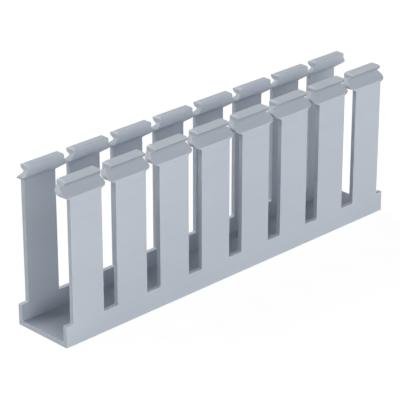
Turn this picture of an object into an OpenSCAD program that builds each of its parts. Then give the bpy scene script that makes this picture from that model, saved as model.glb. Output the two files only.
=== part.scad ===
// Slotted wire duct, the channel without its cover.
// One extruded length of rigid PVC: a flat floor and two walls, each wall slotted
// from the top into fingers. Each finger carries the same head, because the heads are
// part of the extruded section: a ramp leaning in over the channel, and a lip turned
// back outwards over a groove that a cover clips into. The punch that opens the slots
// leaves the ramps wider than the fingers, with rounded ends that nearly meet.
// Origin: centre of the underside. +X along the duct, +Z up.

/* [Length] */
// Number of fingers on each wall
fingers = 8; // [2:1:14]
// Distance from one finger to the next along the duct
finger_pitch = 20; // [14:0.5:30]
// Width of a slot between two fingers
slot_w = 6.3; // [5:0.1:9]

/* [Section] */
// Width over the two walls
duct_w = 25; // [20:0.5:80]
// Height from the underside to the top of the heads
duct_h = 60; // [30:1:100]
// Thickness of the walls and of the heads' ramps
wall_t = 1.8; // [1.2:0.1:2.4]
// Thickness of the floor
floor_t = 1.8; // [1.2:0.1:3]
// Height of the closed wall below the slots
base_h = 8; // [5:0.5:15]
// Radius along the outer edges of the underside
edge_r = 0.5; // [0.2:0.1:1]

/* [Heads] */
// Height of a head, from where its ramp starts on the outer face to the top
head_h = 5.8; // [5:0.1:8]
// Radius where the outer face turns into the ramp
ramp_r = 0.5; // [0.3:0.1:3]
// Depth of the cover groove, from the wall's outer face to its bottom
groove_d = 3.6; // [3:0.1:4]
// Drop from the top to the bottom of the cover groove
groove_drop = 2.4; // [2.1:0.1:2.8]
// How far the lip's tip stays in from the wall's outer face
lip_in = 1.2; // [0.6:0.1:1.6]
// Drop from the top to the lower edge of the lip's tip
lip_drop = 1.8; // [1.6:0.1:1.9]
// How far the tip leans back in at its lower edge
lip_lean = 0.6; // [0:0.1:0.8]
// How far the lip's top slopes down towards its tip
lip_fall = 0.7; // [0.3:0.1:0.9]
// Width of that slope
lip_run = 1.2; // [0.8:0.1:1.4]
// How far a head reaches in over the channel, from the wall's outer face
head_reach = 5.5; // [5:0.1:6.5]
// Height of a head's inner edge
nose_h = 3.9; // [3.3:0.1:4.6]
// How far the inner edge leans back at its lower end
nose_lean = 0.3; // [0:0.1:0.6]

/* [Slots] */
// Radius in the two corners at the bottom of a slot
slot_r = 0.4; // [0.3:0.1:2]
// Width of a slot where it is narrowest, between the ends of two ramps
neck_w = 1.4; // [0.6:0.1:2]
// Height of that narrowest part
neck_h = 1; // [0.8:0.1:1.2]
// Height over which a finger widens to its ramp
flare_h = 1.3; // [1:0.1:1.8]
// Radius on the ends of a ramp
shoulder_r = 0.8; // [0.3:0.1:0.9]
// Width of a slot at the top, between two lips
mouth_w = 4.2; // [3:0.1:4.8]
// Radius on the top corners of a lip
lip_r = 0.9; // [0.3:0.1:1.2]

/* [Fixing holes] */
// Diameter of the screw holes along the middle of the floor
fixing_d = 5; // [3:0.1:8]
// Slot pitches from one screw hole to the next
fixing_step = 2; // [1:1:4]

/* [Hidden] */
length = fingers * finger_pitch;
half_w = duct_w / 2;
ramp_z = duct_h - head_h;
groove_z = duct_h - groove_drop;
lip_z = duct_h - lip_drop;
// How far the ramp leans over from upright
ramp_lean = atan2(groove_d, groove_z - ramp_z);
// Height at which the inner face turns into the ramp, one wall thickness inside
throat_z = ramp_z - wall_t * tan(ramp_lean / 2);
// Number of straight steps in a rounded corner of the section
corner_steps = 6;
// How far a cutting shape runs past the face that it cuts
past = 1;

// Unit vector from a to b
function toward(a, b) = (b - a) / norm(b - a);

// Points of the arc of radius r that rounds the corner q between p and s
function corner(p, q, s, r) =
  let (
    to_p = toward(q, p),
    to_s = toward(q, s),
    half = acos(to_p * to_s) / 2,
    reach = r / tan(half),
    centre = q + toward([0, 0], to_p + to_s) * r / sin(half),
    from = q + to_p * reach - centre,
    turn = sign(to_p[0] * to_s[1] - to_p[1] * to_s[0]) * (2 * half - 180)
  )
  r == 0 ? [q] : [
    for (i = [0 : corner_steps])
      let (a = turn * i / corner_steps)
        centre + [from[0] * cos(a) - from[1] * sin(a), from[0] * sin(a) + from[1] * cos(a)]
  ];

// Outline with each corner [x, y, radius] rounded
function rounded(c) = [
  for (i = [0 : len(c) - 1])
    let (
      p = c[(i + len(c) - 1) % len(c)],
      s = c[(i + 1) % len(c)]
    )
      each corner([p[0], p[1]], [c[i][0], c[i][1]], [s[0], s[1]], c[i][2])
];

// The same corners on the other side of the middle, in the opposite order
function mirrored(c) = [for (i = [len(c) - 1 : -1 : 0]) [-c[i][0], c[i][1], c[i][2]]];

// Corners of one wall and its half of the section, from the underside round the head
// to the floor. Each is [distance from the middle, height, radius].
half_section = [
  [half_w, 0, edge_r],
  [half_w, ramp_z, ramp_r],
  [half_w - groove_d, groove_z, 0.3],
  [half_w - lip_in - lip_lean, lip_z, 0.2],
  [half_w - lip_in, duct_h - lip_fall, 0.15],
  [half_w - lip_in - lip_run, duct_h, 0.5],
  [half_w - head_reach, duct_h, 0.6],
  [half_w - head_reach + nose_lean, duct_h - nose_h, 0.4],
  [half_w - wall_t, throat_z, 0.5],
  [half_w - wall_t, floor_t, 0.3],
];

// The extruded section, before any slot is punched
module profile() {
  rotate([90, 0, 90])
    linear_extrude(height = length, center = true)
      polygon(rounded(concat(half_section, mirrored(half_section))));
}

// Outline of one slot, seen from the side: straight between the fingers, nearly closed
// between the ramps, wider between the lips, and widest above their rounded corners
module slot_outline() {
  half_slot = slot_w / 2;
  half_neck = neck_w / 2;
  half_mouth = mouth_w / 2;
  // The finger starts to widen just below the ramp
  flare_z = throat_z;
  side = [
    [half_slot, base_h, slot_r],
    [half_slot, flare_z, 0.3],
    [half_neck, flare_z + flare_h, shoulder_r],
    [half_neck, flare_z + flare_h + neck_h, shoulder_r],
    [half_mouth, lip_z, 0.6],
    [half_mouth, duct_h, lip_r],
    [half_mouth + 2 * lip_r, duct_h, 0],
    [half_mouth + 2 * lip_r, duct_h + past, 0],
  ];
  polygon(rounded(concat(side, mirrored(side))));
}

// Everything that one slot takes away, through both walls
module slot_cut() {
  rotate([90, 0, 0])
    linear_extrude(height = duct_w + 2 * past, center = true)
      slot_outline();
}

module fixing_hole() {
  translate([0, 0, -past])
    cylinder(d = fixing_d, h = floor_t + 2 * past, $fn = 48);
}

module duct() {
  color([0.70, 0.74, 0.78])
    difference() {
      profile();
      for (i = [0 : fingers])
        translate([(i - fingers / 2) * finger_pitch, 0, 0]) slot_cut();
      for (i = [1 : fixing_step : fingers - 1])
        translate([(i - fingers / 2) * finger_pitch, 0, 0]) fixing_hole();
    }
}

duct();
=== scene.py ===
# Slotted wire duct, the channel without its cover, standing on a pale studio floor.
import math

import bmesh
import bpy
from mathutils import Matrix, Vector


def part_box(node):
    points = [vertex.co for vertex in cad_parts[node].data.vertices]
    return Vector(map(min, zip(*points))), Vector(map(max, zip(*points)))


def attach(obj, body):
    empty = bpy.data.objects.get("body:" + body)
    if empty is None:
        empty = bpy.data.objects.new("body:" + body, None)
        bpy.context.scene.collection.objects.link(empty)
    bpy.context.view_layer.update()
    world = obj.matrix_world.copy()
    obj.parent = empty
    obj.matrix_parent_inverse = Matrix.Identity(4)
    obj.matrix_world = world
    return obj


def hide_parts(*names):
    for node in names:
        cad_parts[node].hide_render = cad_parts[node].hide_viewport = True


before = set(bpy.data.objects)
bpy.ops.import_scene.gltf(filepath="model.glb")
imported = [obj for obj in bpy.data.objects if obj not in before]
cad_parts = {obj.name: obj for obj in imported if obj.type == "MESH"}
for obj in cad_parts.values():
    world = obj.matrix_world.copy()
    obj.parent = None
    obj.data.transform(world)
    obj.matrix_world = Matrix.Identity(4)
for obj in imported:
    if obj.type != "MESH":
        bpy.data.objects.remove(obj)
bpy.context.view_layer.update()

# ---- The extruded channel -------------------------------------------------------------
# One length of rigid grey PVC, extruded through a die: a flat floor and two plain walls,
# each with a hooked head along its top. The head is a ramp that leans in over the channel
# and a lip that turns back out over the groove for the cover.
mm = 0.001
low, high = (Vector(corner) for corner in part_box("duct"))
half_width, height = high.y, high.z
wall = 1.8 * mm
floor_plate = 1.8 * mm
foot_radius = 0.5 * mm
head_height = 5.8 * mm
head_reach = 5.5 * mm
ramp_radius = 0.5 * mm
groove_depth = 3.6 * mm
groove_drop = 2.4 * mm
lip_inset = 1.2 * mm
lip_drop = 1.8 * mm
lip_lean = 0.6 * mm
lip_fall = 0.7 * mm
lip_run = 1.2 * mm
nose_height = 3.9 * mm
nose_lean = 0.3 * mm
ramp_foot = height - head_height
groove_level = height - groove_drop
ramp_lean = math.atan2(groove_depth, groove_level - ramp_foot)
# Where the inner face turns into the ramp, one wall thickness inside
throat = ramp_foot - wall * math.tan(ramp_lean / 2)
# One wall and half the floor, from the underside round the head: across, up, radius
half_section = [
    (half_width, 0, foot_radius),
    (half_width, ramp_foot, ramp_radius),
    (half_width - groove_depth, groove_level, 0.3 * mm),
    (half_width - lip_inset - lip_lean, height - lip_drop, 0.2 * mm),
    (half_width - lip_inset, height - lip_fall, 0.15 * mm),
    (half_width - lip_inset - lip_run, height, 0.5 * mm),
    (half_width - head_reach, height, 0.6 * mm),
    (half_width - head_reach + nose_lean, height - nose_height, 0.4 * mm),
    (half_width - wall, throat, 0.5 * mm),
    (half_width - wall, floor_plate, 0.3 * mm),
]


def mirrored(corners):
    """The same corners on the other side of the middle, in the opposite order."""
    return [(-across, up, radius) for across, up, radius in reversed(corners)]


def extruded_outline(corners, place, along):
    """A solid from corners (across, up, radius): one face, its corners rounded, pushed along."""
    bm = bmesh.new()
    points = [place(across, up) for across, up, radius in corners]
    verts = [bm.verts.new(point) for point in points]
    bm.faces.new(verts)
    for i, (vert, (across, up, radius)) in enumerate(zip(verts, corners)):
        if radius == 0:
            continue
        to_last = (points[i - 1] - points[i]).normalized()
        to_next = (points[(i + 1) % len(points)] - points[i]).normalized()
        reach = radius / math.tan(to_last.angle(to_next) / 2)
        bmesh.ops.bevel(bm, geom=[vert], offset=reach, offset_type="OFFSET", segments=5,
                        profile=0.5, affect="VERTICES", material=-1, clamp_overlap=False)
    pushed = bmesh.ops.extrude_face_region(bm, geom=bm.faces[:])
    moved = [item for item in pushed["geom"] if isinstance(item, bmesh.types.BMVert)]
    bmesh.ops.translate(bm, vec=along, verts=moved)
    bmesh.ops.recalc_face_normals(bm, faces=bm.faces[:])
    return bm


def as_object(bm, name):
    """A new object in the scene from a bmesh, which is used up."""
    mesh = bpy.data.meshes.new(name)
    bm.to_mesh(mesh)
    bm.free()
    made = bpy.data.objects.new(name, mesh)
    bpy.context.scene.collection.objects.link(made)
    return made


duct = as_object(
    extruded_outline(half_section + mirrored(half_section),
                     lambda across, up: Vector((low.x, across, up)),
                     Vector((high.x - low.x, 0, 0))),
    "slotted_duct")

# ---- The slots and the screw holes ----------------------------------------------------
# A punch opens both walls together, one slot at every pitch, and leaves the ramps wider
# than the fingers with rounded ends that nearly meet. The floor takes a drilled hole for
# a screw at every second slot. The sawn ends fall in the middle of a slot.
fingers = 8
pitch = (high.x - low.x) / fingers
slot_foot = 8 * mm
half_slot, half_neck, half_mouth = 3.15 * mm, 0.7 * mm, 2.1 * mm
shoulder = throat + 1.3 * mm
neck_height = 1 * mm
shoulder_radius = 0.8 * mm
lip_corner = 0.9 * mm
screw_hole_radius = 2.5 * mm
# How far a punch runs past what it cuts
past = 1 * mm
# One side of a slot, from its foot to above the lips: across, up, radius
slot_side = [
    (half_slot, slot_foot, 0.4 * mm),
    (half_slot, throat, 0.3 * mm),
    (half_neck, shoulder, shoulder_radius),
    (half_neck, shoulder + neck_height, shoulder_radius),
    (half_mouth, height - lip_drop, 0.6 * mm),
    (half_mouth, height, lip_corner),
    (half_mouth + 2 * lip_corner, height, 0),
    (half_mouth + 2 * lip_corner, height + past, 0),
]


def subtract(body, cutter):
    """Cuts one closed shape out of another for good and throws the cutter away."""
    cut = body.modifiers.new("cut", "BOOLEAN")
    cut.operation = "DIFFERENCE"
    cut.solver = "EXACT"
    cut.object = cutter
    graph = bpy.context.evaluated_depsgraph_get()
    result = bpy.data.meshes.new_from_object(body.evaluated_get(graph))
    body.modifiers.remove(cut)
    old = body.data
    body.data = result
    bpy.data.meshes.remove(old)
    bpy.data.objects.remove(cutter)


for i in range(fingers + 1):
    x = low.x + i * pitch
    subtract(duct, as_object(
        extruded_outline(slot_side + mirrored(slot_side),
                         lambda across, up: Vector((x + across, -half_width - past, up)),
                         Vector((0, 2 * (half_width + past), 0))),
        "slot_punch"))
for i in range(1, fingers, 2):
    bm = bmesh.new()
    bmesh.ops.create_cone(bm, cap_ends=True, segments=48, radius1=screw_hole_radius,
                          radius2=screw_hole_radius, depth=4 * floor_plate,
                          matrix=Matrix.Translation((low.x + i * pitch, 0, floor_plate / 2)))
    subtract(duct, as_object(bm, "drill"))

# ---- The rounded edges, painted highlights and painted shade --------------------------
# Punch, saw and drill leave every cut edge slightly rounded. The rounded edges are paler,
# partly blanched PVC and partly a painted highlight; the cut ends of the heads carry a
# painted highlight, and the slopes of the lips painted light. Painted shade darkens the
# faces under the lips, less of it the channel's floor, and a trace of it the ramps.
edge_rounding = 0.12 * mm
sharp_edge = math.radians(40)
# Paleness: blanched PVC plus a painted highlight on rounded edges, a painted highlight on the heads'
# cut ends, painted light on the lips' slopes
edge_blanching_and_highlight, head_end_highlight, lip_slope_painted_light = 1.0, 0.7, 0.6
# Painted shade under the lips, on the channel's floor and on the ramps
under_lip_shade, channel_floor_shade, ramp_shade = 1.0, 0.3, 0.15


def level(face):
    """How high the middle of a face lies."""
    return face.calc_center_median().z


def outward(face):
    """How far a face looks away from the duct's middle line, from -1 to 1."""
    return math.copysign(face.normal.y, face.normal.y * face.calc_center_median().y)


def is_cut(face):
    """True for what the punch, the saw or the drill left, and not the die."""
    at_slot_foot = face.normal.z > 0.9 and floor_plate + mm < level(face) < throat
    return abs(face.normal.x) > 0.05 or at_slot_foot


def painted_light_amount(face):
    """How much painted light a whole face gets: a painted highlight on the heads' cut ends, and
    painted light on the lips' slopes.
    """
    if is_cut(face) and level(face) > throat:
        return head_end_highlight
    on_lip_slope = outward(face) > 0.2 and face.normal.z > 0.5 and level(face) > height - mm
    return lip_slope_painted_light if on_lip_slope else 0.0


def painted_shade_amount(face):
    """How much painted shade a face gets: most under the lips, some on the floor, a little on ramps.
    """
    if outward(face) > 0 and face.normal.z < -0.1 and level(face) > ramp_foot:
        return under_lip_shade
    if face.normal.z > 0.9 and level(face) < floor_plate + 0.1 * mm:
        return channel_floor_shade
    on_ramp = outward(face) > 0 and 0.6 < face.normal.z < 0.8 and level(face) < groove_level
    return ramp_shade if on_ramp else 0.0


bm = bmesh.new()
bm.from_mesh(duct.data)
blanched_and_highlight = bm.faces.layers.float.new("blanched_and_highlight")
painted_shade = bm.faces.layers.float.new("painted_shade")
bmesh.ops.remove_doubles(bm, verts=bm.verts[:], dist=0.002 * mm)
bmesh.ops.dissolve_limit(bm, angle_limit=math.radians(0.5), verts=bm.verts[:], edges=bm.edges[:])
for face in bm.faces:
    face[blanched_and_highlight] = painted_light_amount(face)
cut_edges = [edge for edge in bm.edges
             if edge.is_manifold and edge.calc_face_angle(0) > sharp_edge]
rounded = bmesh.ops.bevel(bm, geom=cut_edges, offset=edge_rounding, offset_type="OFFSET",
                          segments=2, profile=0.5, affect="EDGES", material=-1,
                          clamp_overlap=False)
# The rounded edges are paler: blanched cut PVC and a painted highlight
for face in rounded["faces"]:
    face[blanched_and_highlight] = edge_blanching_and_highlight
for face in bm.faces:
    face.smooth = True
    face.material_index = int(is_cut(face))
    face[painted_shade] = painted_shade_amount(face)
bm.to_mesh(duct.data)
bm.free()
smooth = duct.modifiers.new("even_normals", "WEIGHTED_NORMAL")
smooth.keep_sharp = True
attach(duct, "root")
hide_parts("duct")

# ---- The grey PVC ---------------------------------------------------------------------
# Rigid grey PVC, coloured through, with a satin skin from the die: faint lines drawn along
# its length, slightly uneven colour and a fine pebble. The punched slots and the sawn ends
# are duller, with short tear lines across the wall.
pvc_grey = (0.507, 0.556, 0.622, 1)
# The pale grey of blanched edges, painted highlights and painted light
blanched_and_highlight_grey = (0.72, 0.76, 0.80, 1)
refraction = 1.45
# Noise scales for each metre: clouds some 36 mm across and pits of 0.4 mm
clouds_per_metre, pits_per_metre = 28, 2400
# The last is how far the painted shade darkens the grey
cloud_contrast, pebble_contrast, painted_shade_depth = 0.09, 0.03, 0.4
line_dullness, pebble_dullness = 0.16, 0.1
line_relief = 0.6
relief_depth = 0.05 * mm


def add(nodes, kind, **settings):
    """A new node with its own settings."""
    node = nodes.new(kind)
    for name, value in settings.items():
        setattr(node, name, value)
    return node


def noise(nodes, links, vector, scale, detail, stretch=None):
    """Noise in the duct's own metres; stretch is a socket with a scale for each axis."""
    place = add(nodes, "ShaderNodeMapping", vector_type="POINT")
    links.new(vector, place.inputs["Vector"])
    if stretch:
        links.new(stretch, place.inputs["Scale"])
    grain = nodes.new("ShaderNodeTexNoise")
    grain.inputs["Scale"].default_value = scale
    grain.inputs["Detail"].default_value = detail
    links.new(place.outputs["Vector"], grain.inputs["Vector"])
    return grain.outputs["Fac"]


def calculate(nodes, links, operation, *values):
    """One operation on values, each a number or a socket."""
    node = add(nodes, "ShaderNodeMath", operation=operation)
    for socket, value in zip(node.inputs, values):
        if isinstance(value, bpy.types.NodeSocket):
            links.new(value, socket)
        else:
            socket.default_value = value
    return node.outputs[0]


skin = bpy.data.node_groups.new("pvc_skin", "ShaderNodeTree")
for name, kind in (("Color", "NodeSocketColor"), ("Edge Color", "NodeSocketColor"),
                   ("Line Stretch", "NodeSocketVector"), ("Line Contrast", "NodeSocketFloat"),
                   ("Roughness", "NodeSocketFloat")):
    skin.interface.new_socket(name, in_out="INPUT", socket_type=kind)
for name, kind in (("Color", "NodeSocketColor"), ("Roughness", "NodeSocketFloat"),
                   ("Height", "NodeSocketFloat")):
    skin.interface.new_socket(name, in_out="OUTPUT", socket_type=kind)
nodes, links = skin.nodes, skin.links
given, made = nodes.new("NodeGroupInput"), nodes.new("NodeGroupOutput")
own = nodes.new("ShaderNodeTexCoord").outputs["Object"]
clouds = noise(nodes, links, own, clouds_per_metre, 3)
lines = noise(nodes, links, own, 1, 2, given.outputs["Line Stretch"])
pebble = noise(nodes, links, own, pits_per_metre, 1)
line_shift = calculate(nodes, links, "SUBTRACT", lines, 0.5)
pebble_shift = calculate(nodes, links, "SUBTRACT", pebble, 0.5)

# Colour: clouds, drawn lines and pebble vary the grey, painted shade darkens it, and painted
# highlights, painted light and blanching on the cut edges make faces paler
painted_shade_fac = add(nodes, "ShaderNodeAttribute", attribute_name="painted_shade").outputs["Fac"]
tone = calculate(nodes, links, "MULTIPLY_ADD", clouds, cloud_contrast, 1 - cloud_contrast / 2)
tone = calculate(nodes, links, "MULTIPLY_ADD", line_shift, given.outputs["Line Contrast"], tone)
tone = calculate(nodes, links, "MULTIPLY_ADD", pebble_shift, pebble_contrast, tone)
# Painted shade: darker under the lips, on the channel's floor and on the ramps
tone = calculate(nodes, links, "MULTIPLY_ADD", painted_shade_fac, -painted_shade_depth, tone)
toned = add(nodes, "ShaderNodeVectorMath", operation="SCALE")
links.new(given.outputs["Color"], toned.inputs[0])
links.new(tone, toned.inputs["Scale"])
# Painted highlights and painted light, with blanching on the rounded edges, lighten the grey
pale_fac = add(nodes, "ShaderNodeAttribute", attribute_name="blanched_and_highlight").outputs["Fac"]
edged = add(nodes, "ShaderNodeMix", data_type="RGBA")
links.new(calculate(nodes, links, "MULTIPLY", pale_fac, clouds), edged.inputs["Factor"])
links.new(toned.outputs[0], edged.inputs["A"])
links.new(given.outputs["Edge Color"], edged.inputs["B"])
links.new(edged.outputs["Result"], made.inputs["Color"])

# Dullness and relief follow the lines and the pebble
rough = calculate(nodes, links, "MULTIPLY_ADD", line_shift, line_dullness, given.outputs["Roughness"])
rough = calculate(nodes, links, "MULTIPLY_ADD", pebble_shift, pebble_dullness, rough)
links.new(rough, made.inputs["Roughness"])
raised = calculate(nodes, links, "MULTIPLY_ADD", lines, line_relief, pebble)
links.new(raised, made.inputs["Height"])


def pvc(name, line_stretch, line_contrast, roughness, bump):
    """One finish of the PVC: the shared skin with its own lines, dullness and relief."""
    material = bpy.data.materials.new(name)
    material.use_nodes = True
    nodes, links = material.node_tree.nodes, material.node_tree.links
    face = add(nodes, "ShaderNodeGroup", node_tree=skin)
    face.inputs["Color"].default_value = pvc_grey
    face.inputs["Edge Color"].default_value = blanched_and_highlight_grey
    face.inputs["Line Stretch"].default_value = line_stretch
    face.inputs["Line Contrast"].default_value = line_contrast
    face.inputs["Roughness"].default_value = roughness
    shader = nodes["Principled BSDF"]
    shader.inputs["IOR"].default_value = refraction
    links.new(face.outputs["Color"], shader.inputs["Base Color"])
    links.new(face.outputs["Roughness"], shader.inputs["Roughness"])
    relief = nodes.new("ShaderNodeBump")
    relief.inputs["Strength"].default_value = bump
    relief.inputs["Distance"].default_value = relief_depth
    links.new(face.outputs["Height"], relief.inputs["Height"])
    links.new(relief.outputs["Normal"], shader.inputs["Normal"])
    return material


duct.data.materials.clear()
duct.data.materials.append(pvc("drawn_pvc", line_stretch=(4, 700, 700), line_contrast=0.07,
                               roughness=0.48, bump=0.25))
duct.data.materials.append(pvc("cut_pvc", line_stretch=(2500, 60, 2500), line_contrast=0.12,
                               roughness=0.6, bump=0.4))

# ---- The studio -----------------------------------------------------------------------
# A plain white floor that keeps a faint shadow, and an even white surround. Seven soft
# square lamps light the duct: three low ones and a high one in front, a weak one at the
# left, and two high ones behind.
floor_size = 3
floor_glow = 0.94
paper_per_metre = 60
shadow_catch = (0.11, 0.13)
lamp_distance, lamp_size = 3, 1.5
duct_middle = Vector((0, 0, height / 2))


def seen_directly(nodes, links):
    """1 for what the camera or a glossy surface sees, 0 for the light that falls on the duct."""
    path = nodes.new("ShaderNodeLightPath")
    return calculate(nodes, links, "MAXIMUM", path.outputs["Is Camera Ray"],
                     path.outputs["Is Glossy Ray"])


bm = bmesh.new()
bmesh.ops.create_grid(bm, x_segments=1, y_segments=1, size=floor_size)
studio_floor = as_object(bm, "studio_floor")
white = bpy.data.materials.new("studio_white")
white.use_nodes = True
studio_floor.data.materials.append(white)
nodes, links = white.node_tree.nodes, white.node_tree.links
shader = nodes["Principled BSDF"]
shader.inputs["Base Color"].default_value = (0.8, 0.8, 0.8, 1)
shader.inputs["Roughness"].default_value = 0.9
shader.inputs["Specular IOR Level"].default_value = 0.0
glow = nodes.new("ShaderNodeEmission")
glow.inputs["Strength"].default_value = floor_glow
paper = add(nodes, "ShaderNodeMapRange")
paper.inputs["To Min"].default_value, paper.inputs["To Max"].default_value = shadow_catch
own = nodes.new("ShaderNodeTexCoord").outputs["Object"]
links.new(noise(nodes, links, own, paper_per_metre, 3), paper.inputs["Value"])
faint = nodes.new("ShaderNodeBsdfDiffuse")
links.new(paper.outputs["Result"], faint.inputs["Color"])
shown = nodes.new("ShaderNodeAddShader")
links.new(glow.outputs[0], shown.inputs[0])
links.new(faint.outputs[0], shown.inputs[1])
either = nodes.new("ShaderNodeMixShader")
links.new(seen_directly(nodes, links), either.inputs[0])
links.new(shader.outputs[0], either.inputs[1])
links.new(shown.outputs[0], either.inputs[2])
links.new(either.outputs[0], nodes["Material Output"].inputs["Surface"])

world = bpy.data.worlds.new("surround")
bpy.context.scene.world = world
world.use_nodes = True
nodes, links = world.node_tree.nodes, world.node_tree.links
background = nodes["Background"]
background.inputs["Color"].default_value = (1, 1, 1, 1)
links.new(seen_directly(nodes, links), background.inputs["Strength"])


def set_up(name, item, aim, azimuth, elevation, distance):
    """Sets up a lamp or camera turned to aim; azimuth counts from the front to the right."""
    a, e = math.radians(azimuth), math.radians(elevation)
    away = Vector((math.sin(a) * math.cos(e), -math.cos(a) * math.cos(e), math.sin(e)))
    holder = bpy.data.objects.new(name, item)
    holder.location = aim + away * distance
    holder.rotation_euler = away.to_track_quat("Z", "Y").to_euler()
    bpy.context.scene.collection.objects.link(holder)
    return holder


for name, azimuth, elevation, power in (
        ("front_lamp", 15, 5, 39), ("front_left_lamp", -20, 5, 28),
        ("front_right_lamp", 45, 5, 13), ("front_high_lamp", 0, 40, 14),
        ("left_lamp", -90, 20, 6), ("back_lamp", 180, 40, 40),
        ("back_left_lamp", -135, 40, 35)):
    lamp = bpy.data.lights.new(name, "AREA")
    lamp.size = lamp_size
    lamp.energy = power
    set_up(name, lamp, duct_middle, azimuth, elevation, lamp_distance)

# ---- The camera -----------------------------------------------------------------------
# A long lens at the left front, looking down a little on the heads and into the channel.
camera = bpy.data.cameras.new("camera")
camera.lens = 180.259
camera.sensor_width = 36
camera.clip_start = 0.05
camera.clip_end = 20
viewer = set_up("camera", camera, Vector((0, 5.548 * mm, 23.679 * mm)),
                azimuth=-44.526, elevation=24.152, distance=722.75 * mm)
bpy.context.scene.camera = viewer
bpy.context.scene.view_settings.view_transform = "Standard"
